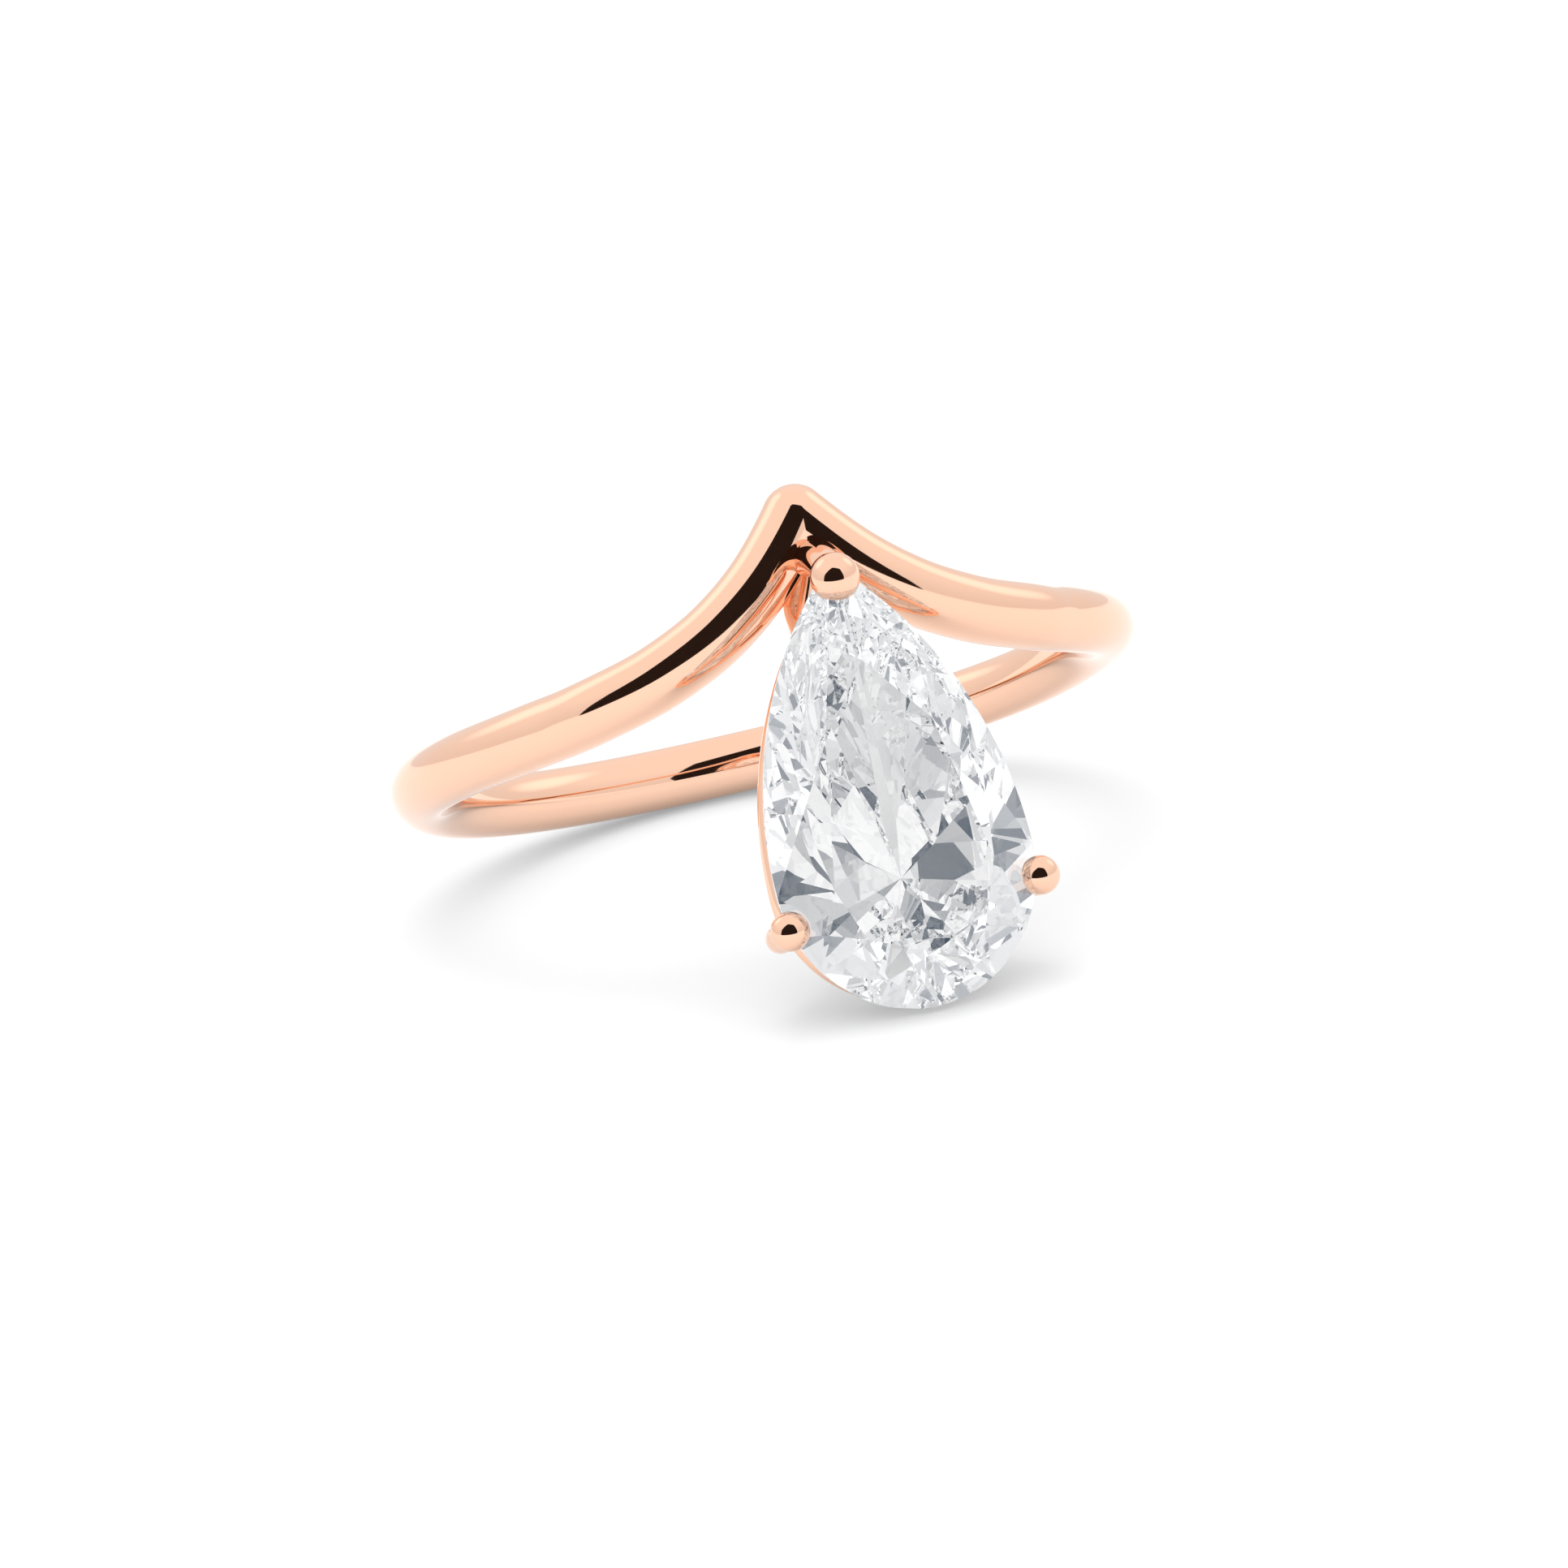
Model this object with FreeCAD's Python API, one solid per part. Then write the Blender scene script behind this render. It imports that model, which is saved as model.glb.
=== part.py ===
import FreeCAD, Part
import os
import math

# Pear-stone engagement ring on a chevron (wishbone) band, lying at rest on a table.
# Modelled in the worn frame: X across the finger, Y along the finger, Z from the
# palm to the head. The last step leans the ring into its resting pose:
# Z up, table at z = 0, stone face towards -Y.

# ---- band ----
finger_r = 8.50          # inside radius, 17.0 mm finger size
wire_r_head = 0.95       # half the wire's radial thickness at the head
wire_r_palm = 0.80       # the same at the palm
wire_w_head = 0.86       # half the wire's width along the finger at the head
wire_w_palm = 0.84       # the same at the palm
land_bite = 0.08         # depth the finger cylinder flattens the inside by
land_from_deg = 42.0     # the inside land starts here, measured from the head

# height of the wire's centre line above the palm plane, by angle from the head
chevron_deg = [0.0, 7.0, 15.0, 25.0, 37.0, 52.0, 70.0, 92.0, 120.0, 180.0]
chevron_rise = [3.72, 2.42, 1.40, 0.65, 0.24, 0.10, 0.11, 0.13, 0.0, 0.0]

# ---- stone: pear brilliant ----
girdle_z = 11.98         # girdle plane above the finger axis
stone_y = -5.80          # widest point of the pear, along the finger
stone_w = 6.69           # width
stone_tip = 7.88         # widest point to the tip
stone_round = 3.63       # widest point to the round end
girdle_h = 0.16          # girdle thickness
crown_h = 0.88           # girdle to table
pavilion_h = 2.86        # girdle to culet
culet_y = -6.05          # the culet, along the finger
# right half of the stone in plan, from the tip round to the round end
table_corners = [(0.0, -0.65), (1.40, -2.45), (2.08, -6.15), (1.56, -7.50), (0.0, -8.17)]
star_points = [(0.68, -0.05), (2.36, -4.10), (2.52, -7.12), (1.22, -8.58)]
main_at = [0.0, 0.235, 0.51, 0.705, 1.0]      # girdle places of the main facets, tip to end
lower_share = 0.22       # how near the culet the lower girdle facets reach

# ---- head ----
rail_r = 0.34            # gallery rail wire radius
rail_z = 10.86           # gallery rail centre height
rail_half_w = 2.96       # its centre line: half width
rail_y = -5.82           # widest point
rail_wing_r = 10.2       # radius of the arcs towards the tip
rail_tip_y = 1.60        # the arcs run to here, past the mitre on the centre line
base_r = 0.33            # base rail wire radius
base_z = 8.96            # base rail centre height
base_half_w = 1.72       # its centre line: half width
base_y = -5.60           # widest point
base_wing_r = 14.0       # radius of the arcs towards the tip
base_tip_y = -0.10       # the arcs stop inside the bridge
claw_z = 12.26           # height of the claw balls' centres
tip_ball_r = 0.63
tip_ball_y = 1.62        # a little nearer the stone than its wire
tip_wire_r = 0.46
tip_wire_y = 2.02
side_ball_r = 0.50
side_ball_x = 3.28
side_ball_y = -6.82
side_wire_r = 0.38
bridge_z0 = 8.62         # underside of the bridge in the chevron
bridge_z1 = 9.62         # its top
bridge_w_top = 1.30      # half width where it meets the arms
bridge_w_low = 0.92      # half width where it meets the base rail
bridge_y_top = 1.30
bridge_y_low = -0.45

V = FreeCAD.Vector


def spline_slopes(xs, ys):
    """Tangents of a natural-looking curve through the stations, one per station."""
    n = len(xs)
    d = [(ys[i + 1] - ys[i]) / (xs[i + 1] - xs[i]) for i in range(n - 1)]
    m = [d[0] * 1.12]
    for i in range(1, n - 1):
        a = xs[i] - xs[i - 1]
        b = xs[i + 1] - xs[i]
        m.append((d[i - 1] * b + d[i] * a) / (a + b))
    m.append(0.0)
    return m


rise_slopes = spline_slopes(chevron_deg, chevron_rise)


def rise(deg):
    """Centre-line height at this angle from the head. Below zero it runs on straight."""
    if deg <= 0:
        return chevron_rise[0] + rise_slopes[0] * deg
    i = 0
    while i < len(chevron_deg) - 2 and deg > chevron_deg[i + 1]:
        i += 1
    h = chevron_deg[i + 1] - chevron_deg[i]
    t = min((deg - chevron_deg[i]) / h, 1.0)
    a = 2 * t ** 3 - 3 * t ** 2 + 1
    b = t ** 3 - 2 * t ** 2 + t
    c = -2 * t ** 3 + 3 * t ** 2
    e = t ** 3 - t ** 2
    low = a * chevron_rise[i] + b * h * rise_slopes[i]
    return low + c * chevron_rise[i + 1] + e * h * rise_slopes[i + 1]


def smooth(t):
    t = max(0.0, min(1.0, t))
    return t * t * (3 - 2 * t)


def wire_size(deg):
    w = 0.5 * (1 + math.cos(math.radians(deg)))
    radial = wire_r_head * w + wire_r_palm * (1 - w)
    width = wire_w_head * w + wire_w_palm * (1 - w)
    return radial, width


def centre(deg):
    radial, width = wire_size(deg)
    bite = (land_bite + 0.02) * smooth((abs(deg) - land_from_deg + 5) / 8) - 0.02
    r = finger_r - bite + radial
    a = math.radians(deg)
    return V(r * math.sin(a), rise(deg), r * math.cos(a))


def section(deg):
    """The wire's elliptical section, square to the centre line, as a wire."""
    p = centre(deg)
    t = centre(deg + 0.2).sub(centre(deg - 0.2))
    t.normalize()
    a = math.radians(deg)
    n = V(math.sin(a), 0, math.cos(a))
    n = n.sub(t * n.dot(t))
    n.normalize()
    b = t.cross(n)
    radial, width = wire_size(deg)
    u = n * radial
    v = b * width
    m = FreeCAD.Matrix(u.x, v.x, t.x, p.x, u.y, v.y, t.y, p.y, u.z, v.z, t.z, p.z, 0, 0, 0, 1)
    circle = Part.Wire(Part.makeCircle(1.0))
    return circle.transformGeometry(m)


def mirrored(shape):
    return shape.mirror(V(0, 0, 0), V(1, 0, 0))


def right_arm():
    """Half the band: from the mitre at the chevron's apex round to the seam at the palm."""
    stations = [0.0, 3.5, 7.0, 11.0, 15.0, 20.0, 26.0, 32.0, 38.0, 46.0, 56.0, 68.0, 80.0]
    stations += [92.0, 106.0, 120.0, 135.0, 150.0, 165.0, 180.0, 186.0]
    arm = Part.makeLoft([section(d) for d in stations], True, False)
    radial, width = wire_size(0)
    p = centre(0)
    scale = FreeCAD.Matrix(width, 0, 0, p.x, 0, width, 0, p.y, 0, 0, radial, p.z, 0, 0, 0, 1)
    knuckle = Part.makeSphere(1.0).transformGeometry(scale)
    arm = arm.fuse(knuckle)
    finger = Part.makeCylinder(finger_r, 40, V(0, -20, 0), V(0, 1, 0))
    arm = arm.cut(finger)
    quarters = []
    for z0, z1 in ((6.0, 30.0), (-1.0, 6.0), (-7.0, -1.0), (-30.0, -7.0)):
        quarters.append(arm.common(Part.makeBox(30, 60, z1 - z0, V(0, -30, z0))))
    whole = quarters[0].multiFuse(quarters[1:])
    return max(whole.Solids, key=lambda s: s.Volume)


def outline_point(s):
    """Point on the girdle outline. s runs from 0 at the tip to 1 at the round end."""
    if s < 0.5:
        t = stone_tip * (1 - s / 0.5)
        h = stone_w / 2
        r = stone_tip ** 2 / (2 * h) + h / 2
        return V(h - r + math.sqrt(r * r - t * t), stone_y + t, 0)
    a = (s - 0.5) * math.pi
    return V(stone_w / 2 * math.cos(a), stone_y - stone_round * math.sin(a), 0)


def half_space(point, normal):
    """A big block whose one face goes through the point, on the side the normal leaves."""
    size = 40.0
    block = Part.makeBox(size, size, size, V(-size / 2, -size / 2, 0))
    turn = FreeCAD.Rotation(V(0, 0, 1), normal)
    block.Placement = FreeCAD.Placement(point, turn)
    return block


def plane_z(a, b, c, p):
    """Height at plan point p of the plane through three points."""
    n = b.sub(a).cross(c.sub(a))
    return a.z - (n.x * (p.x - a.x) + n.y * (p.y - a.y)) / n.z


def facet(stone, a, b, c):
    """Trims the stone by the plane through three points, and by its mirror image."""
    for sign in (1, -1):
        p, q, r = [V(sign * v.x, v.y, v.z) for v in (a, b, c)]
        n = q.sub(p).cross(r.sub(p))
        n.normalize()
        if n.dot(p.sub(V(0, stone_y, girdle_z))) < 0:
            n = n * -1
        stone = stone.cut(half_space(p, n))
        if max(abs(v.x) for v in (a, b, c)) < 1e-9 or abs(n.x) < 1e-9:
            break
    return stone


def girdle_tangent(s):
    """Level direction along the girdle at place s. At the tip and the round end it is square to Y."""
    if s in (0.0, 1.0):
        return V(1, 0, 0)
    return outline_point(s + 0.01).sub(outline_point(s - 0.01))


def pear_stone():
    z0 = girdle_z - girdle_h / 2
    z1 = z0 + girdle_h
    table_z = z1 + crown_h
    culet = V(0, culet_y, z0 - pavilion_h)
    steps = 64
    rim = [outline_point(k / steps) for k in range(steps + 1)]
    rim += [V(-p.x, p.y, 0) for p in rim[-2:0:-1]]
    stone = Part.Face(Part.makePolygon([V(p.x, p.y, culet.z - 1) for p in rim + rim[:1]]))
    stone = stone.extrude(V(0, 0, table_z - culet.z + 1))
    lift = V(0, 0, z1)
    corners = [V(x, y, table_z) for x, y in table_corners]
    mains = [outline_point(s) for s in main_at]
    stars = []
    for i in range(4):
        p = V(star_points[i][0], star_points[i][1], 0)
        heights = []
        for k in (i, i + 1):
            top = mains[k].add(lift)
            heights.append(plane_z(corners[k], top, top.add(girdle_tangent(main_at[k])), p))
        p.z = min(heights) - 0.01
        stars.append(p)
    for i in range(4):
        s_mid = 0.5 * (main_at[i] + main_at[i + 1])
        mid = outline_point(s_mid)
        for k in (i, i + 1):
            # crown: the two halves of each main facet, the star and the upper girdle facets
            stone = facet(stone, corners[k], stars[i], mains[k].add(lift))
            stone = facet(stone, stars[i], mains[k].add(lift), mid.add(lift))
            # pavilion: main facets to the culet and the long lower girdle facets
            edge = V(mains[k].x, mains[k].y, z0)
            stone = facet(stone, edge, edge.add(girdle_tangent(main_at[k])), culet)
            inner = V(mid.x, mid.y, 0).multiply(lower_share)
            inner = inner.add(V(0, culet_y * (1 - lower_share), 0))
            inner.z = z0 - pavilion_h * (1 - lower_share) * 1.03
            stone = facet(stone, edge, V(mid.x, mid.y, z0), inner)
        stone = facet(stone, corners[i], corners[i + 1], stars[i])
    return stone


def rail(half_w, wide_y, wing_r, tip_y, z, r):
    """A pear-shaped wire: a half circle at the round end and two arcs towards the tip."""
    axis_x = wing_r - half_w
    swing = math.asin((tip_y - wide_y) / wing_r)

    def wing(angle):
        return V(wing_r * math.cos(angle) - axis_x, wide_y + wing_r * math.sin(angle), z)

    def end(angle):
        return V(half_w * math.cos(angle), wide_y - half_w * math.sin(angle), z)

    side = Part.Arc(wing(swing), wing(swing / 2), wing(0)).toShape()
    turn = Part.Arc(end(0), end(0.8), end(1.6)).toShape()
    along = V(-math.sin(swing), math.cos(swing), 0)
    ring = Part.Wire(Part.makeCircle(r, wing(swing), along))
    half = Part.Wire([side, turn]).makePipeShell([ring], True, False)
    half = half.common(Part.makeBox(20, 40, 4, V(0, -20, z - 2)))
    return half.fuse(mirrored(half))


def rod(points, r):
    """A round wire along straight runs with rounded bends."""
    body = None
    for p, q in zip(points, points[1:]):
        run = Part.makeCylinder(r, p.distanceToPoint(q), p, q.sub(p))
        body = run if body is None else body.fuse(run).fuse(Part.makeSphere(r, p))
    return body


def right_claw():
    """Side claw: from the base rail out to the gallery rail, up past the girdle, ball on top."""
    foot = V(1.72, -6.05, base_z + 0.05)
    knee = V(3.02, -6.66, rail_z - 0.45)
    neck = V(side_ball_x + 0.10, side_ball_y - 0.06, rail_z + 0.35)
    top = V(side_ball_x + 0.06, side_ball_y - 0.03, claw_z)
    ball = Part.makeSphere(side_ball_r, V(side_ball_x, side_ball_y, claw_z))
    return rod([foot, knee, neck, top], side_wire_r).fuse(ball)


def tip_claw():
    """Tip claw: stands on the bridge in the chevron's inner corner, ball over the stone's tip."""
    foot_z = bridge_z1 - 0.10
    wire = Part.makeCylinder(tip_wire_r, claw_z - foot_z, V(0, tip_wire_y, foot_z), V(0, 0, 1))
    ball = Part.makeSphere(tip_ball_r, V(0, tip_ball_y, claw_z))
    return wire.fuse(ball)


def bridge():
    """Tapered block in the chevron's inner corner that ties the base rail to both arms."""
    top_y = chevron_rise[0] - 0.4
    plan = [V(0, top_y, 0), V(bridge_w_top + 0.7, bridge_y_top, 0)]
    plan += [V(bridge_w_top, bridge_y_top - 0.15, 0), V(bridge_w_low, bridge_y_low, 0)]
    plan += [V(-bridge_w_low, bridge_y_low, 0)]
    plan += [V(-bridge_w_top, bridge_y_top - 0.15, 0), V(-bridge_w_top - 0.7, bridge_y_top, 0)]
    plan = [V(p.x, p.y, bridge_z0) for p in plan]
    body = Part.Face(Part.makePolygon(plan + plan[:1])).extrude(V(0, 0, bridge_z1 - bridge_z0))
    return body


def trimmed(shape, *others):
    for other in others:
        shape = shape.cut(other)
    solids = sorted(shape.Solids, key=lambda s: s.Volume)
    return solids[-1]


stone = pear_stone()
arm_r = right_arm()
arm_l = mirrored(arm_r)
gallery = rail(rail_half_w, rail_y, rail_wing_r, rail_tip_y, rail_z, rail_r)
base = rail(base_half_w, base_y, base_wing_r, base_tip_y, base_z, base_r)
bridge_body = trimmed(bridge(), arm_r, arm_l, base)
tip = trimmed(tip_claw(), arm_r, arm_l, bridge_body, stone)
gallery = trimmed(gallery, tip, arm_r, arm_l)
claw_r = trimmed(right_claw(), gallery, base, stone)
claw_l = mirrored(claw_r)

# ---- resting pose: the palm side of the band and the gallery rail's round end touch the table
palm_drop = finger_r - land_bite + wire_r_palm
rail_low_y = rail_y - rail_half_w
reach = math.hypot(-rail_low_y, rail_z + palm_drop)
gap = wire_w_palm - rail_r
lean = math.atan2(-rail_low_y, rail_z + palm_drop) - math.asin(gap / reach)
floor_z = -palm_drop * math.sin(lean) - wire_w_palm
back_shift = 2.87        # puts the middle of the ring's length over the origin

nodes = {
    "shank_right_arm": arm_r,
    "shank_left_arm": arm_l,
    "bridge": bridge_body,
    "base_rail": base,
    "gallery_rail": gallery,
    "tip_claw": tip,
    "right_claw": claw_r,
    "left_claw": claw_l,
    "pear_diamond": stone,
}

os.makedirs("parts", exist_ok=True)
for name, shape in nodes.items():
    shape = shape.copy()
    shape.rotate(V(0, 0, 0), V(1, 0, 0), 90 - math.degrees(lean))
    shape.translate(V(0, back_shift, -floor_z))
    solid = shape.Solids[0]
    solid.exportStep("parts/" + name + ".step")
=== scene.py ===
import math

import bpy
from mathutils import Matrix, Vector


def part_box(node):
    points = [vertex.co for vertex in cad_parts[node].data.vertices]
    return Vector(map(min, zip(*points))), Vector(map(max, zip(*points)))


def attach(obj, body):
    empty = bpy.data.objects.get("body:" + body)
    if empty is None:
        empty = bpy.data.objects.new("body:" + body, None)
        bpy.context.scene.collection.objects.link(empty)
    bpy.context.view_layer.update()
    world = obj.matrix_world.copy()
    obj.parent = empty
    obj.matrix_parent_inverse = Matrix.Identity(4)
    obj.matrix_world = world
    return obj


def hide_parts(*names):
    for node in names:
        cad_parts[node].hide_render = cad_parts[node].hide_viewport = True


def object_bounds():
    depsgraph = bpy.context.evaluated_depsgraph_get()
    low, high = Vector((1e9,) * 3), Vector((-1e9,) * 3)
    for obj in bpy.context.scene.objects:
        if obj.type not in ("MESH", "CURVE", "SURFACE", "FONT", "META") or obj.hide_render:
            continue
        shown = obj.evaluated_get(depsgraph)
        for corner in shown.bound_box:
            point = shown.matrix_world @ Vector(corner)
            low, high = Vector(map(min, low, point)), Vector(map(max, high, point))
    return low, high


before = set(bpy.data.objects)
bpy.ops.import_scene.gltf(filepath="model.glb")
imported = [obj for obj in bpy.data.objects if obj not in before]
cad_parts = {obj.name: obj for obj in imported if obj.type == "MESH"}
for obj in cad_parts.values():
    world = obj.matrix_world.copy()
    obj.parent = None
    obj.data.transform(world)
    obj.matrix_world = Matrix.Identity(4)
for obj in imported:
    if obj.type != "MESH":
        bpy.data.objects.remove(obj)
cad_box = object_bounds()

# A rose gold ring with a chevron band, a pear-cut diamond and three ball claws, lying at rest.
# The gold pieces are built in the worn frame, in mm: X across the finger, Y along the finger,
# Z from the palm to the head. TO_ROW then leans them into the resting frame, in metres.
# The stone is the CAD body itself.

# ---------------------------------------------------------------- driving dimensions, mm, worn frame
FINGER_R = 8.50          # inside radius of the band
WIRE_R_HEAD = 0.95       # half the wire's radial thickness at the head
WIRE_R_PALM = 0.80       # the same at the palm
WIRE_W_HEAD = 0.86       # half the wire's width along the finger at the head
WIRE_W_PALM = 0.84       # the same at the palm
LAND_BITE = 0.08         # how far the wire sinks into the finger's circle
LAND_FROM = 42.0         # degrees from the head where it starts to
# height of the wire's centre line above the palm plane, by degrees from the head
CHEVRON_DEG = [0.0, 7.0, 15.0, 25.0, 37.0, 52.0, 70.0, 92.0, 120.0, 180.0]
CHEVRON_RISE = [3.72, 2.42, 1.40, 0.65, 0.24, 0.10, 0.11, 0.13, 0.0, 0.0]

RAIL_R = 0.34            # gallery rail: wire radius
RAIL_Z = 10.86           # height of its centre line
RAIL_HALF_W = 2.96       # its half width
RAIL_Y = -5.82           # its widest point
RAIL_WING_R = 10.2       # radius of its arcs towards the tip
RAIL_TIP_Y = 1.60        # past the mitre on the centre line
BASE_R = 0.33            # base rail, likewise
BASE_Z = 8.96
BASE_HALF_W = 1.72
BASE_Y = -5.60
BASE_WING_R = 14.0
BASE_TIP_Y = 1.30        # hidden in the web

WEB_Z0 = 8.62            # web in the chevron's inner corner: underside
WEB_Z1 = 9.62            # top
WEB_W_TOP = 0.80         # half width at the arms
WEB_W_LOW = 0.62         # half width at its free end
WEB_Y_TOP = 1.30         # it narrows again beyond here, into the corner
WEB_Y_LOW = -0.45        # its free end
WEB_TAPER = 1.9          # length of both tapers

CLAW_Z = 12.26           # height of the claw balls' centres
TIP_BALL_R = 0.63
TIP_BALL = Vector((0, 1.62, CLAW_Z))
TIP_WIRE_R = 0.46
TIP_WIRE = [Vector((0, 2.62, WEB_Z1 - 0.25)), Vector((0, 2.52, 10.1)), Vector((0, 2.38, 10.7)),
            Vector((0, 2.16, 11.3)), Vector((0, 1.86, 11.9))]
SIDE_BALL_R = 0.50
SIDE_BALL = Vector((3.28, -6.82, CLAW_Z))
SIDE_WIRE_R = 0.38
SIDE_WIRE = [Vector((1.72, -6.05, BASE_Z + 0.05)), Vector((2.30, -6.36, 9.65)),
             Vector((3.02, -6.66, 10.50)), Vector((3.40, -6.88, 11.25)),
             Vector((3.38, -6.87, 11.75)), Vector((3.32, -6.84, 12.0))]
SEAT_PLAY = 1.003        # the claws' notches are cut with the stone scaled by this

# ---------------------------------------------------------------- mesh density
BAND_ROWS = 260          # rings of points along an arm
BAND_AROUND = 96         # points round it
BAND_BUNCHING = 1.35     # above 1, the rings bunch towards the head
KNUCKLE_STEPS = 12       # steps round the outside of the mitre at the apex
RAIL_AROUND = 40
RAIL_WING_STEPS = 70
RAIL_END_STEPS = 40
CLAW_AROUND = 64
CLAW_STEPS = 10          # steps between two control points of a claw's wire
BALL_STEPS = 48
WEB_ROWS = 60
WEB_AROUND = 48

# ---------------------------------------------------------------- worn frame to the resting row frame
PALM_DROP = FINGER_R - LAND_BITE + WIRE_R_PALM
RAIL_LOW = RAIL_HALF_W - RAIL_Y
LEAN = math.atan2(RAIL_LOW, RAIL_Z + PALM_DROP)
LEAN -= math.asin((WIRE_W_PALM - RAIL_R) / math.hypot(RAIL_LOW, RAIL_Z + PALM_DROP))
LIFT = PALM_DROP * math.sin(LEAN) + WIRE_W_PALM
# the middle of the band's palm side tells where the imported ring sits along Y
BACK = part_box("shank_right_arm")[1].y * 1000 - PALM_DROP * math.cos(LEAN)
BACK -= math.sqrt((WIRE_W_PALM * math.sin(LEAN)) ** 2 + (WIRE_R_PALM * math.cos(LEAN)) ** 2)
TURN = Matrix.Rotation(math.pi / 2 - LEAN, 4, "X")
TO_ROW = Matrix.Scale(0.001, 4) @ Matrix.Translation((0, BACK, LIFT)) @ TURN


# ---------------------------------------------------------------- mesh helpers
def make_object(name, verts, faces, normals=None):
    """A riding mesh piece from points in the worn frame, in mm."""
    mesh = bpy.data.meshes.new(name)
    mesh.from_pydata([TO_ROW @ Vector(v) for v in verts], [], faces)
    mesh.validate()
    for p in mesh.polygons:
        p.use_smooth = True
    if normals is not None:
        turn = TURN.to_3x3()
        mesh.normals_split_custom_set_from_vertices([turn @ Vector(n) for n in normals])
    obj = bpy.data.objects.new(name, mesh)
    bpy.context.scene.collection.objects.link(obj)
    return obj


def grid_faces(rows, cols, flip=False):
    """Quads of a grid whose rows are closed rings."""
    faces = []
    for i in range(rows - 1):
        for j in range(cols):
            k = (j + 1) % cols
            quad = (i * cols + j, i * cols + k, (i + 1) * cols + k, (i + 1) * cols + j)
            faces.append(quad[::-1] if flip else quad)
    return faces


def end_caps(rows, cols):
    """The first and last ring of such a grid, as faces."""
    return [tuple(range(cols))[::-1], tuple(range((rows - 1) * cols, rows * cols))]


# ---------------------------------------------------------------- band
def spline_slopes(xs, ys):
    """Tangents of a smooth curve through the stations, one per station, level at the last."""
    n = len(xs)
    d = [(ys[i + 1] - ys[i]) / (xs[i + 1] - xs[i]) for i in range(n - 1)]
    m = [d[0] * 1.12]
    for i in range(1, n - 1):
        a = xs[i] - xs[i - 1]
        b = xs[i + 1] - xs[i]
        m.append((d[i - 1] * b + d[i] * a) / (a + b))
    m.append(0.0)
    return m


RISE_SLOPES = spline_slopes(CHEVRON_DEG, CHEVRON_RISE)


def rise(deg):
    """Height of the centre line at this angle from the head. Below zero it runs on straight."""
    if deg <= 0:
        return CHEVRON_RISE[0] + RISE_SLOPES[0] * deg
    i = 0
    while i < len(CHEVRON_DEG) - 2 and deg > CHEVRON_DEG[i + 1]:
        i += 1
    h = CHEVRON_DEG[i + 1] - CHEVRON_DEG[i]
    t = min((deg - CHEVRON_DEG[i]) / h, 1.0)
    a = 2 * t ** 3 - 3 * t ** 2 + 1
    b = t ** 3 - 2 * t ** 2 + t
    c = -2 * t ** 3 + 3 * t ** 2
    e = t ** 3 - t ** 2
    low = a * CHEVRON_RISE[i] + b * h * RISE_SLOPES[i]
    return low + c * CHEVRON_RISE[i + 1] + e * h * RISE_SLOPES[i + 1]


def smooth(t):
    t = max(0.0, min(1.0, t))
    return t * t * (3 - 2 * t)


def wire_size(deg):
    """Half the radial thickness and half the width of the wire."""
    w = 0.5 * (1 + math.cos(math.radians(deg)))
    return WIRE_R_HEAD * w + WIRE_R_PALM * (1 - w), WIRE_W_HEAD * w + WIRE_W_PALM * (1 - w)


def centre(deg):
    radial = wire_size(deg)[0]
    bite = (LAND_BITE + 0.02) * smooth((abs(deg) - LAND_FROM + 5) / 8) - 0.02
    r = FINGER_R - bite + radial
    a = math.radians(deg)
    return Vector((r * math.sin(a), rise(deg), r * math.cos(a)))


def band_frame(deg):
    """Centre, tangent, outward direction and sideways direction of the wire."""
    p = centre(deg)
    t = (centre(deg + 0.2) - centre(deg - 0.2)).normalized()
    a = math.radians(deg)
    n = Vector((math.sin(a), 0, math.cos(a)))
    n = (n - t * n.dot(t)).normalized()
    return p, t, n, t.cross(n)


def band_point(deg, psi):
    """Point of the wire's skin at angle psi round its section."""
    p, t, n, b = band_frame(deg)
    radial, width = wire_size(deg)
    return p + n * (radial * math.cos(psi)) - b * (width * math.sin(psi))


def band_normal(deg, psi):
    e = 0.15
    along = band_point(deg + e, psi) - band_point(deg - e, psi)
    around = band_point(deg, psi + 0.01) - band_point(deg, psi - 0.01)
    nrm = around.cross(along).normalized()
    if nrm.dot(band_point(deg, psi) - centre(deg)) < 0:
        nrm = -nrm
    return nrm


def mitre_start(psi):
    """The angle from the head at which the skin line at psi leaves the plane x = 0."""
    low, high = -2.0, 12.0
    for _ in range(40):
        mid = 0.5 * (low + high)
        if band_point(mid, psi).x < 0:
            low = mid
        else:
            high = mid
    return high


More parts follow.
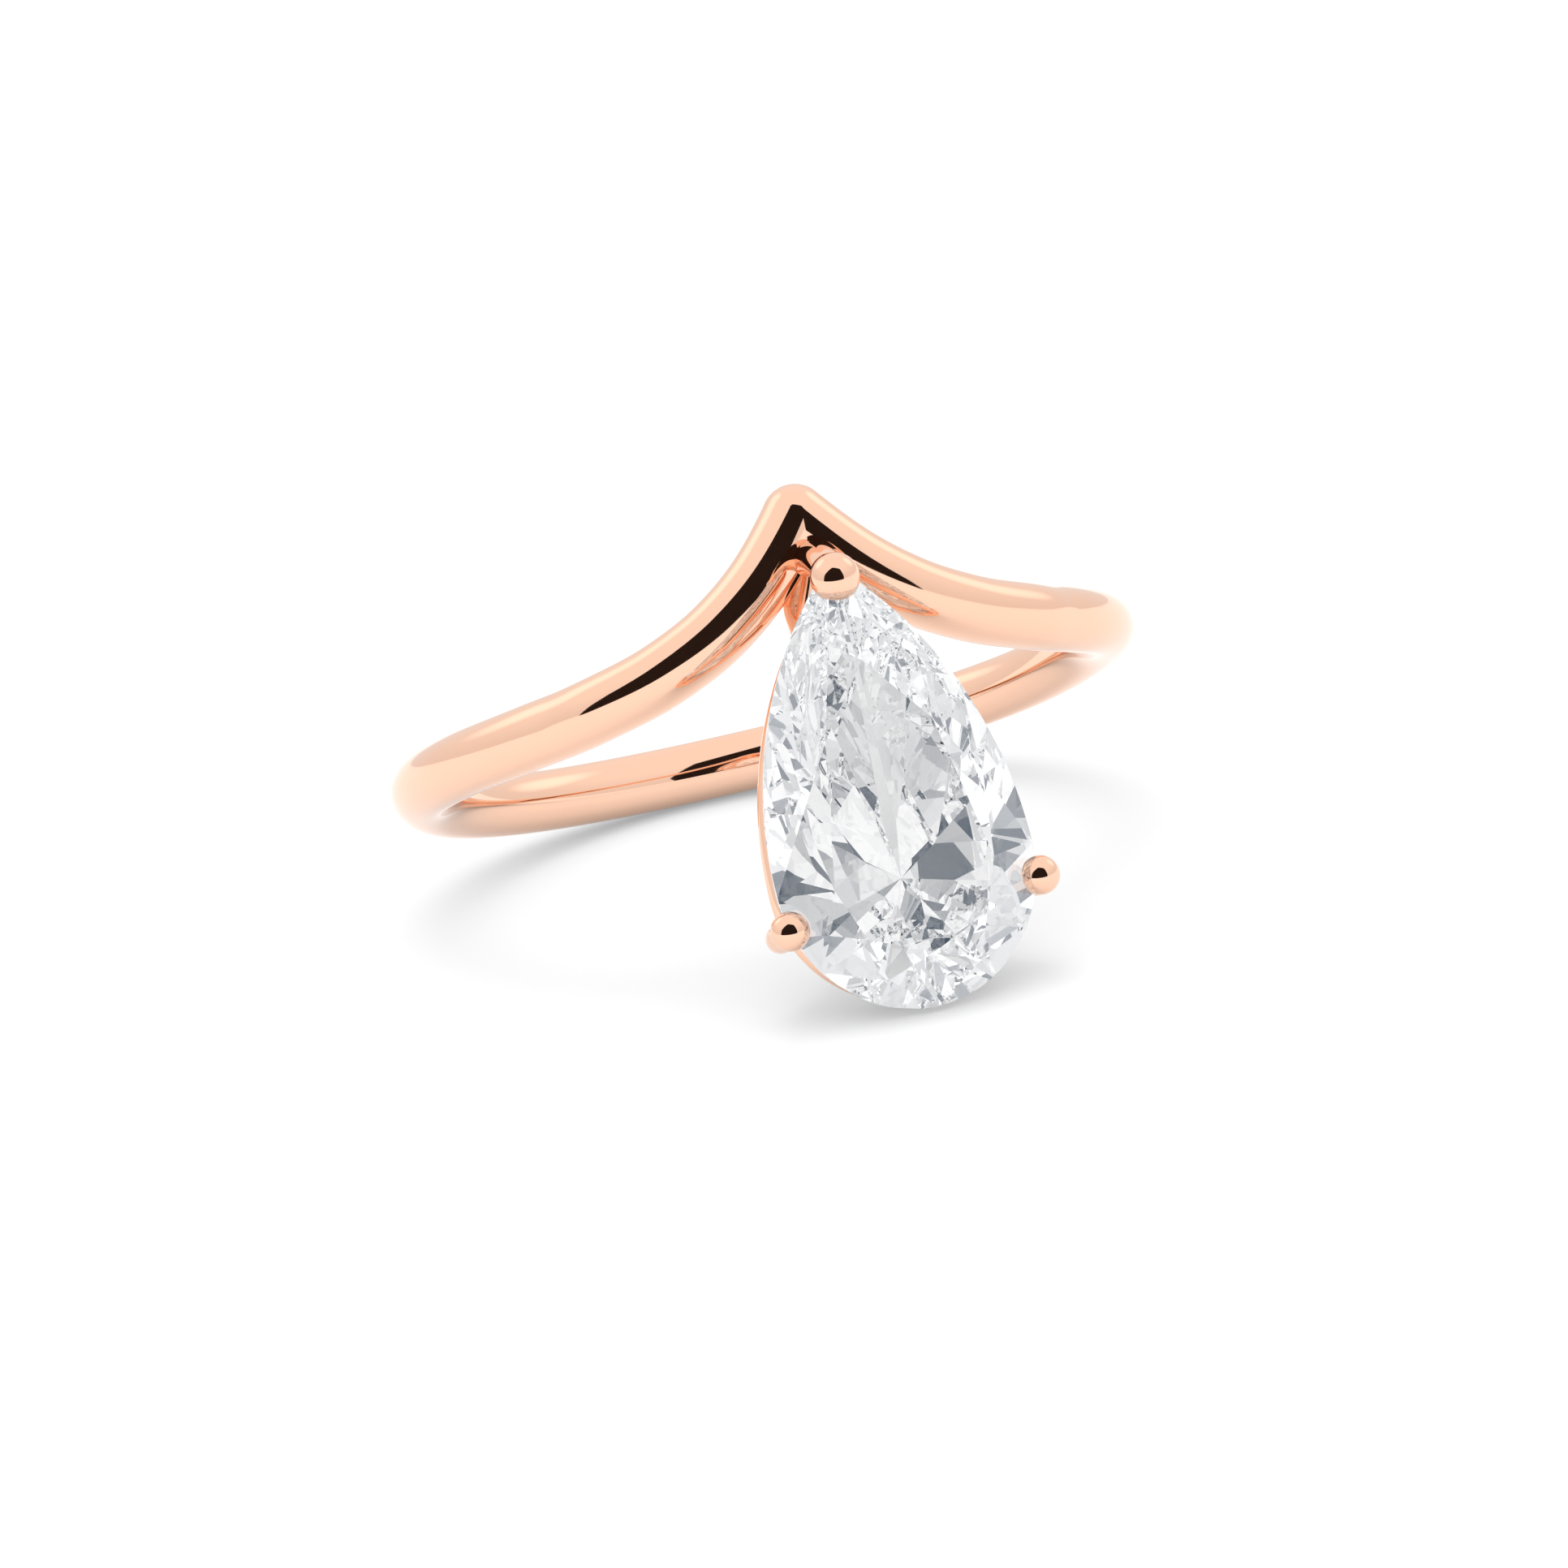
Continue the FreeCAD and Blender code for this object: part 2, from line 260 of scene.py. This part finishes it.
def right_arm_lines():
    """For every angle psi round the wire, the line along the arm from x = 0 to the palm.

    On the outside of the chevron's corner the lines start with a turn about the apex.
    """
    p0, t0, n0, _ = band_frame(0.0)
    radial, width = wire_size(0.0)
    drop = math.atan2(-t0.y, t0.x)
    stations = [0.0]
    while stations[-1] < 180.0:
        stations.append(min(stations[-1] + (0.5 if stations[-1] < 24 else 1.5), 180.0))
    lines = []
    for j in range(BAND_AROUND):
        psi = 2 * math.pi * j / BAND_AROUND
        pts = []
        s, c = math.sin(psi), math.cos(psi)
        if s >= 0:
            for k in range(KNUCKLE_STEPS):
                beta = drop * k / KNUCKLE_STEPS
                side = Vector((math.sin(beta), math.cos(beta), 0))
                p = p0 + n0 * (radial * c) + side * (width * s)
                nrm = (n0 * (c / radial) + side * (s / width)).normalized()
                pts.append((p, nrm))
            start = 0.0
        else:
            start = mitre_start(psi)
        first = max(start, 0.0)
        for d in [first] + [d for d in stations if d > first + 0.05]:
            pts.append((band_point(d, psi), band_normal(d, psi)))
        p, nrm = pts[0]
        pts[0] = (Vector((0.0, p.y, p.z)), nrm)
        p, nrm = pts[-1]
        pts[-1] = (Vector((0.0, p.y, p.z)), Vector((0.0, nrm.y, nrm.z)).normalized())
        lines.append(pts)
    return lines


def resampled(pts, shares):
    """Points and normals of a line at the given shares of its length."""
    lengths = [0.0]
    for (p, _), (q, _) in zip(pts, pts[1:]):
        lengths.append(lengths[-1] + (q - p).length)
    total = lengths[-1]
    out = []
    i = 0
    for share in shares:
        s = share * total
        while i < len(pts) - 2 and lengths[i + 1] < s:
            i += 1
        span = max(lengths[i + 1] - lengths[i], 1e-9)
        t = min(max((s - lengths[i]) / span, 0.0), 1.0)
        p = pts[i][0].lerp(pts[i + 1][0], t)
        n = pts[i][1].lerp(pts[i + 1][1], t).normalized()
        out.append((p, n))
    return out


def build_band():
    shares = [(k / (BAND_ROWS - 1)) ** BAND_BUNCHING for k in range(BAND_ROWS)]
    rows = list(zip(*[resampled(line, shares) for line in right_arm_lines()]))
    verts = [p for row in rows for p, _ in row]
    norms = [n for row in rows for _, n in row]
    right = make_object("right_arm", verts, grid_faces(BAND_ROWS, BAND_AROUND, flip=True), norms)
    flip = Matrix.Scale(-1, 3, (1, 0, 0))
    left = make_object("left_arm", [flip @ v for v in verts], grid_faces(BAND_ROWS, BAND_AROUND),
                       [flip @ n for n in norms])
    return right, left


# ---------------------------------------------------------------- round wires
def tube(name, path, radii, around):
    """A round wire along a path, with its own radius at each point and flat ends."""
    n = len(path)
    tangents = []
    for i in range(n):
        tangents.append((path[min(i + 1, n - 1)] - path[max(i - 1, 0)]).normalized())
    up = Vector((0, 0, 1)) if abs(tangents[0].z) < 0.9 else Vector((0, 1, 0))
    side = tangents[0].cross(up).normalized()
    verts = []
    for p, t, r in zip(path, tangents, radii):
        side = (side - t * side.dot(t)).normalized()
        other = t.cross(side)
        for j in range(around):
            a = 2 * math.pi * j / around
            verts.append(p + side * (r * math.cos(a)) + other * (r * math.sin(a)))
    return make_object(name, verts, grid_faces(n, around) + end_caps(n, around))


def pear_rail(name, half_w, wide_y, wing_r, tip_y, z, r):
    """A pear-shaped wire. Its arcs meet in a mitre at x = 0, or stop at tip_y if that is sooner."""
    axis_x = wing_r - half_w
    stop = math.asin((tip_y - wide_y) / wing_r)
    rows = RAIL_WING_STEPS + RAIL_END_STEPS + 1
    verts, norms, faces = [], [], []
    for sign in (1, -1):
        first = len(verts)
        for i in range(rows):
            for j in range(RAIL_AROUND):
                a = 2 * math.pi * j / RAIL_AROUND
                out, rise_z = math.cos(a), math.sin(a)
                if i < RAIL_WING_STEPS:
                    reach = wing_r + r * out
                    mitre = math.acos(min(1.0, axis_x / reach))
                    swing = min(stop, mitre) * (1 - i / RAIL_WING_STEPS)
                    x, y = reach * math.cos(swing) - axis_x, wide_y + reach * math.sin(swing)
                    n = (math.cos(swing) * out, math.sin(swing) * out)
                else:
                    turn = math.pi / 2 * (i - RAIL_WING_STEPS) / RAIL_END_STEPS
                    reach = half_w + r * out
                    x, y = reach * math.cos(turn), wide_y - reach * math.sin(turn)
                    n = (math.cos(turn) * out, -math.sin(turn) * out)
                verts.append(Vector((sign * x, y, z + r * rise_z)))
                norms.append(Vector((sign * n[0], n[1], rise_z)))
        for face in grid_faces(rows, RAIL_AROUND, flip=sign < 0):
            faces.append(tuple(first + k for k in face))
    return make_object(name, verts, faces, norms)


def b_spline(points, steps):
    """A smooth line through control points, as a uniform B-spline with held ends."""
    pts = [points[0], points[0]] + list(points) + [points[-1], points[-1]]
    out = []
    for i in range(len(pts) - 3):
        for k in range(steps):
            t = k / steps
            b0 = (1 - t) ** 3 / 6
            b1 = (3 * t ** 3 - 6 * t ** 2 + 4) / 6
            b2 = (-3 * t ** 3 + 3 * t ** 2 + 3 * t + 1) / 6
            b3 = t ** 3 / 6
            out.append(pts[i] * b0 + pts[i + 1] * b1 + pts[i + 2] * b2 + pts[i + 3] * b3)
    out.append(points[-1].copy())
    return out


def build_claw(name, controls, wire_r, ball, ball_r):
    """A bent wire that ends in a ball, in one skin."""
    path = b_spline(controls, CLAW_STEPS)
    # the wire stops where it enters the ball, heading for the ball's centre
    while (path[-1] - ball).length < ball_r * 0.9:
        path.pop()
    aim = (ball - path[-1]).normalized()
    radii = [wire_r] * len(path)
    start = math.pi - math.asin(wire_r / ball_r)
    for k in range(BALL_STEPS + 1):
        a = start * (1 - k / BALL_STEPS)
        path.append(ball + aim * (ball_r * math.cos(a)))
        radii.append(max(ball_r * math.sin(a), 2e-4))
    # the held ends of the line give the same point twice
    kept = [(path[0], radii[0])]
    for p, r in zip(path[1:], radii[1:]):
        if (p - kept[-1][0]).length > 1e-5:
            kept.append((p, r))
    return tube(name, [p for p, _ in kept], [r for _, r in kept], CLAW_AROUND)


def mirrored(p):
    return Vector((-p.x, p.y, p.z))


def build_web():
    """The ridged web in the chevron's inner corner, from the apex down to the base wire."""
    middle_z = 0.5 * (WEB_Z0 + WEB_Z1)
    half_h = 0.85 * (WEB_Z1 - WEB_Z0)
    end_y = WEB_Y_TOP + WEB_TAPER
    nose_share = 0.10
    verts = []
    for i in range(WEB_ROWS):
        t = i / (WEB_ROWS - 1)
        y = end_y - (end_y - WEB_Y_LOW) * t
        w = WEB_W_LOW + (WEB_W_TOP - WEB_W_LOW) * smooth((y - WEB_Y_LOW) / WEB_TAPER)
        w *= 1 - 0.55 * smooth((y - WEB_Y_TOP) / WEB_TAPER)
        # both ends close in a rounded nose
        nose = 1.0
        for from_end in (t, 1 - t):
            nose *= math.sqrt(max(1e-4, 1 - max(0.0, 1 - from_end / nose_share) ** 2))
        for j in range(WEB_AROUND):
            a = 2 * math.pi * j / WEB_AROUND
            across = math.copysign(abs(math.cos(a)) ** 1.7, math.cos(a))
            above = math.copysign(abs(math.sin(a)) ** 1.5, math.sin(a))
            verts.append(Vector((w * nose * across, y, middle_z + half_h * nose * above)))
    faces = grid_faces(WEB_ROWS, WEB_AROUND) + end_caps(WEB_ROWS, WEB_AROUND)
    return make_object("web", verts, faces)


def cut_seat(claw, stone):
    """Cuts the notch that the stone's edge sits in, a hair wider than the stone."""
    cutter = bpy.data.objects.new("cutter", stone.data.copy())
    bpy.context.scene.collection.objects.link(cutter)
    cutter.matrix_world = stone.matrix_world.copy()
    centre_local = sum((v.co for v in cutter.data.vertices), Vector()) / len(cutter.data.vertices)
    for v in cutter.data.vertices:
        v.co = centre_local + (v.co - centre_local) * SEAT_PLAY
    modifier = claw.modifiers.new("seat", "BOOLEAN")
    modifier.operation = "DIFFERENCE"
    modifier.solver = "EXACT"
    modifier.object = cutter
    bpy.context.view_layer.update()
    graph = bpy.context.evaluated_depsgraph_get()
    result = bpy.data.meshes.new_from_object(claw.evaluated_get(graph))
    claw.modifiers.clear()
    claw.data = result
    bpy.data.objects.remove(cutter)


# ---------------------------------------------------------------- materials
def new_material(name):
    mat = bpy.data.materials.new(name)
    mat.use_nodes = True
    nodes = mat.node_tree.nodes
    return mat, nodes, mat.node_tree.links, nodes["Principled BSDF"]


def rose_gold():
    """Mirror-polished 14 carat rose gold: polishing haze and hairlines in roughness and bump."""
    mat, nodes, links, bsdf = new_material("rose_gold_polished")
    bsdf.inputs["Metallic"].default_value = 1.0
    coord = nodes.new("ShaderNodeTexCoord")
    haze = nodes.new("ShaderNodeTexNoise")
    haze.inputs["Scale"].default_value = 420.0
    haze.inputs["Detail"].default_value = 3.0
    tint = nodes.new("ShaderNodeMixRGB")
    tint.inputs["Color1"].default_value = (0.955, 0.612, 0.448, 1)
    tint.inputs["Color2"].default_value = (0.948, 0.598, 0.432, 1)
    rough = nodes.new("ShaderNodeMapRange")
    rough.inputs["From Min"].default_value = 0.35
    rough.inputs["From Max"].default_value = 0.70
    rough.inputs["To Min"].default_value = 0.035
    rough.inputs["To Max"].default_value = 0.065
    lines = nodes.new("ShaderNodeTexNoise")
    lines.inputs["Scale"].default_value = 2600.0
    lines.inputs["Detail"].default_value = 2.0
    bump = nodes.new("ShaderNodeBump")
    bump.inputs["Strength"].default_value = 0.02
    bump.inputs["Distance"].default_value = 0.00001
    links.new(coord.outputs["Object"], haze.inputs["Vector"])
    links.new(coord.outputs["Object"], lines.inputs["Vector"])
    links.new(haze.outputs["Fac"], tint.inputs["Fac"])
    links.new(haze.outputs["Fac"], rough.inputs["Value"])
    links.new(tint.outputs["Color"], bsdf.inputs["Base Color"])
    links.new(rough.outputs["Result"], bsdf.inputs["Roughness"])
    links.new(lines.outputs["Fac"], bump.inputs["Height"])
    links.new(bump.outputs["Normal"], bsdf.inputs["Normal"])
    return mat


def diamond():
    """Colourless diamond: high index glass, faintly uneven polish."""
    mat, nodes, links, bsdf = new_material("diamond_clear")
    bsdf.inputs["Transmission Weight"].default_value = 1.0
    bsdf.inputs["IOR"].default_value = 2.42
    bsdf.inputs["Roughness"].default_value = 0.0
    coord = nodes.new("ShaderNodeTexCoord")
    veil = nodes.new("ShaderNodeTexNoise")
    veil.inputs["Scale"].default_value = 300.0
    tint = nodes.new("ShaderNodeMixRGB")
    tint.inputs["Color1"].default_value = (1.0, 1.0, 1.0, 1)
    tint.inputs["Color2"].default_value = (0.985, 0.99, 1.0, 1)
    links.new(coord.outputs["Object"], veil.inputs["Vector"])
    links.new(veil.outputs["Fac"], tint.inputs["Fac"])
    links.new(tint.outputs["Color"], bsdf.inputs["Base Color"])
    return mat


def glowing(name):
    """A material of one even glow, and the socket of its colour."""
    mat, nodes, links, bsdf = new_material(name)
    nodes.remove(bsdf)
    glow = nodes.new("ShaderNodeEmission")
    links.new(glow.outputs["Emission"], nodes["Material Output"].inputs["Surface"])
    return mat, nodes, links, glow.inputs["Color"]


# ---------------------------------------------------------------- the ring
def build_ring():
    """Every gold piece, with the CAD node that it replaces."""
    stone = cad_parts["pear_diamond"]
    right, left = build_band()
    gallery = pear_rail("gallery_wire", RAIL_HALF_W, RAIL_Y, RAIL_WING_R, RAIL_TIP_Y, RAIL_Z, RAIL_R)
    base = pear_rail("base_wire", BASE_HALF_W, BASE_Y, BASE_WING_R, BASE_TIP_Y, BASE_Z, BASE_R)
    claw_r = build_claw("claw_right", SIDE_WIRE, SIDE_WIRE_R, SIDE_BALL, SIDE_BALL_R)
    claw_l = build_claw("claw_left", [mirrored(p) for p in SIDE_WIRE], SIDE_WIRE_R,
                        mirrored(SIDE_BALL), SIDE_BALL_R)
    claw_t = build_claw("claw_tip", TIP_WIRE, TIP_WIRE_R, TIP_BALL, TIP_BALL_R)
    web = build_web()
    for claw in (claw_r, claw_l, claw_t):
        cut_seat(claw, stone)
    return ((right, "shank_right_arm"), (left, "shank_left_arm"), (gallery, "gallery_rail"),
            (base, "base_rail"), (claw_r, "right_claw"), (claw_l, "left_claw"),
            (claw_t, "tip_claw"), (web, "bridge"))


gold = rose_gold()
for piece, node in build_ring():
    piece.data.materials.clear()
    piece.data.materials.append(gold)
    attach(piece, "root")
    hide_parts(node)
    # light that leaves the stone doesn't meet the gold, so the stone stays white
    piece.visible_transmission = False

# the stone's facets are flat
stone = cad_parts["pear_diamond"]
stone.data.materials.clear()
stone.data.materials.append(diamond())
for p in stone.data.polygons:
    p.use_smooth = False
if stone.data.has_custom_normals:
    smoothed = stone.data.attributes.get("custom_normal")
    if smoothed is not None:
        stone.data.attributes.remove(smoothed)

# ---------------------------------------------------------------- stage
FLOOR_SIZE = 6.0         # m
FLOOR_ALBEDO = 0.66
FLOOR_LIGHT = 1.18       # even light on the floor
FLOOR_GLOW = 0.34        # and from below, as on a light table, which softens the shadows
WALL_LIGHT = 0.90        # the room as the metal and the stone mirror it
CEILING_LIGHT = 1.06
LAMPS = ((-0.474, 0.644, 0.599), (0.789, 0.306, 0.532))
LAMP_EDGE = 0.94         # cosine of a lamp's angular radius
LAMP_GLOW = 0.36
SOFTBOX_UP = Vector((0.0, 0.04, 0.45))
SOFTBOX_SIZE = 0.22
SOFTBOX_POWER = 0.26
# the dark camera and its surround: outlines seen from the ring, at one unit's distance
METAL_CARD = [(-1.50, -0.90), (-1.10, 0.20), (-0.27, 0.94), (0.46, 0.80), (0.85, 0.08),
              (0.92, -0.78), (-0.07, -0.72)]
STONE_CARD = [(-0.37, -0.32), (-0.37, 0.28), (-0.08, 0.32), (-0.05, 0.58), (0.21, 0.58),
              (0.21, -0.32)]
TENT_R = 0.15
TENT_GRAIN = 9.0         # how many soft patches to a metre
TENT_SHIFT = (1.7, -0.6, 0.2)
TENT_TONES = ((0.33, (0.10, 0.13, 0.17)), (0.38, (0.33, 0.36, 0.40)), (0.43, (0.62, 0.63, 0.64)),
              (0.58, (0.80, 0.81, 0.83)), (0.68, (1.02, 1.02, 1.02)))
low, high = (Vector(c) for c in cad_box)
middle = (low + high) / 2


def build_floor():
    bpy.ops.mesh.primitive_plane_add(size=FLOOR_SIZE, location=(0, 0, low.z))
    floor = bpy.context.object
    floor.name = "floor"
    mat, _, _, bsdf = new_material("floor_white")
    bsdf.inputs["Base Color"].default_value = (FLOOR_ALBEDO, FLOOR_ALBEDO, FLOOR_ALBEDO, 1)
    bsdf.inputs["Roughness"].default_value = 0.9
    bsdf.inputs["Specular IOR Level"].default_value = 0.0
    bsdf.inputs["Emission Color"].default_value = (1, 1, 1, 1)
    bsdf.inputs["Emission Strength"].default_value = FLOOR_GLOW
    floor.data.materials.append(mat)


def build_studio():
    """White room: darker walls than ceiling and two soft lamps, but one even light for the floor."""
    world = bpy.data.worlds.new("studio")
    bpy.context.scene.world = world
    world.use_nodes = True
    nodes, links = world.node_tree.nodes, world.node_tree.links
    sky = nodes["Background"]
    sky.inputs["Color"].default_value = (1, 1, 1, 1)
    path_kind = nodes.new("ShaderNodeLightPath")
    direction = nodes.new("ShaderNodeTexCoord")
    split = nodes.new("ShaderNodeSeparateXYZ")
    links.new(direction.outputs["Generated"], split.inputs["Vector"])
    height = nodes.new("ShaderNodeMapRange")
    height.interpolation_type = "SMOOTHSTEP"
    height.inputs["From Min"].default_value = 0.0
    height.inputs["From Max"].default_value = 0.75
    height.inputs["To Min"].default_value = WALL_LIGHT
    height.inputs["To Max"].default_value = CEILING_LIGHT
    links.new(split.outputs["Z"], height.inputs["Value"])
    level = height.outputs["Result"]
    # the lamps stand left and right behind the ring, where the polished balls mirror them
    for toward in LAMPS:
        facing = nodes.new("ShaderNodeVectorMath")
        facing.operation = "DOT_PRODUCT"
        facing.inputs[1].default_value = Vector(toward).normalized()
        links.new(direction.outputs["Generated"], facing.inputs[0])
        lobe = nodes.new("ShaderNodeMapRange")
        lobe.interpolation_type = "SMOOTHSTEP"
        lobe.inputs["From Min"].default_value = LAMP_EDGE
        lobe.inputs["To Max"].default_value = LAMP_GLOW
        links.new(facing.outputs["Value"], lobe.inputs["Value"])
        total = nodes.new("ShaderNodeMath")
        links.new(level, total.inputs[0])
        links.new(lobe.outputs["Result"], total.inputs[1])
        level = total.outputs["Value"]
    even = nodes.new("ShaderNodeMix")
    even.data_type = "FLOAT"
    even.inputs["B"].default_value = FLOOR_LIGHT
    links.new(path_kind.outputs["Is Diffuse Ray"], even.inputs["Factor"])
    links.new(level, even.inputs["A"])
    links.new(even.outputs["Result"], sky.inputs["Strength"])


def build_softbox():
    """A soft overhead light that deepens the shadows under the ring."""
    data = bpy.data.lights.new("softbox_top", "AREA")
    data.shape = "RECTANGLE"
    data.size = SOFTBOX_SIZE
    data.size_y = SOFTBOX_SIZE
    data.energy = SOFTBOX_POWER
    softbox = bpy.data.objects.new("softbox_top", data)
    bpy.context.scene.collection.objects.link(softbox)
    place = middle + SOFTBOX_UP
    aim = (middle - place).to_track_quat("-Z", "Y").to_matrix().to_4x4()
    softbox.matrix_world = Matrix.Translation(place) @ aim
    softbox.visible_glossy = False


build_floor()
build_studio()

# the camera, at the photograph's angle
AZ, EL, ROLL = math.radians(-12.64), math.radians(15.78), math.radians(9.04)
DIST = 0.192
AIM = middle + Vector((-0.00045, -0.00039, -0.00277))
back = Vector((math.sin(AZ) * math.cos(EL), -math.cos(AZ) * math.cos(EL), math.sin(EL)))
level_right = Vector((math.cos(AZ), math.sin(AZ), 0))
level_up = back.cross(level_right)
cam_right = level_right * math.cos(ROLL) - level_up * math.sin(ROLL)
cam_up = back.cross(cam_right)
facing_ring = Matrix((cam_right, cam_up, back)).transposed().to_4x4()
cam_data = bpy.data.cameras.new("camera")
cam_data.lens = 167.87
cam_data.sensor_width = 36.0
cam_data.clip_start = 0.01
cam_data.clip_end = 20.0
camera = bpy.data.objects.new("camera", cam_data)
bpy.context.scene.collection.objects.link(camera)
camera.matrix_world = Matrix.Translation(AIM + back * DIST) @ facing_ring
bpy.context.scene.camera = camera

build_softbox()


def hide_but_from(obj, metal=False, stone=False):
    """Keeps a stage piece out of sight, except in the metal or in light that leaves the stone."""
    obj.visible_camera = False
    obj.visible_diffuse = False
    obj.visible_shadow = False
    obj.visible_glossy = metal
    obj.visible_transmission = stone


def camera_card(name, outline, reach, color):
    """A card square to the camera's line of sight."""
    mesh = bpy.data.meshes.new(name)
    corners = [(x * reach, y * reach, 0) for x, y in outline]
    mesh.from_pydata(corners, [], [tuple(range(len(corners)))])
    card = bpy.data.objects.new(name, mesh)
    bpy.context.scene.collection.objects.link(card)
    card.matrix_world = Matrix.Translation(middle + back * reach) @ facing_ring
    mat, _, _, tone = glowing(name + "_tone")
    tone.default_value = (*color, 1)
    mesh.materials.append(mat)
    return card


def stone_tent():
    """A grey tent of soft patches round the ring."""
    bpy.ops.mesh.primitive_uv_sphere_add(segments=48, ring_count=24, radius=TENT_R, location=middle)
    tent = bpy.context.object
    tent.name = "stone_tent"
    mat, nodes, links, tone = glowing("stone_tent_cloth")
    place = nodes.new("ShaderNodeTexCoord")
    shifted = nodes.new("ShaderNodeMapping")
    shifted.inputs["Location"].default_value = TENT_SHIFT
    patches = nodes.new("ShaderNodeTexNoise")
    patches.inputs["Scale"].default_value = TENT_GRAIN
    patches.inputs["Detail"].default_value = 0.0
    ramp = nodes.new("ShaderNodeValToRGB")
    ramp.color_ramp.elements.remove(ramp.color_ramp.elements[1])
    ramp.color_ramp.elements[0].position = TENT_TONES[0][0]
    ramp.color_ramp.elements[0].color = (*TENT_TONES[0][1], 1)
    for position, grey in TENT_TONES[1:]:
        ramp.color_ramp.elements.new(position).color = (*grey, 1)
    links.new(place.outputs["Object"], shifted.inputs["Vector"])
    links.new(shifted.outputs["Vector"], patches.inputs["Vector"])
    links.new(patches.outputs["Fac"], ramp.inputs["Fac"])
    links.new(ramp.outputs["Color"], tone)
    tent.data.materials.append(mat)
    return tent


hide_but_from(camera_card("camera_card", METAL_CARD, 0.20, (0.02, 0.014, 0.012)), metal=True)
hide_but_from(camera_card("camera_card_in_stone", STONE_CARD, 0.12, (0.10, 0.13, 0.17)), stone=True)
hide_but_from(stone_tent(), stone=True)

scene = bpy.context.scene
scene.view_settings.view_transform = "Standard"
scene.view_settings.look = "None"
scene.cycles.max_bounces = 48
scene.cycles.glossy_bounces = 40
scene.cycles.transmission_bounces = 40
scene.cycles.sample_clamp_indirect = 4.0
scene.cycles.caustics_reflective = False
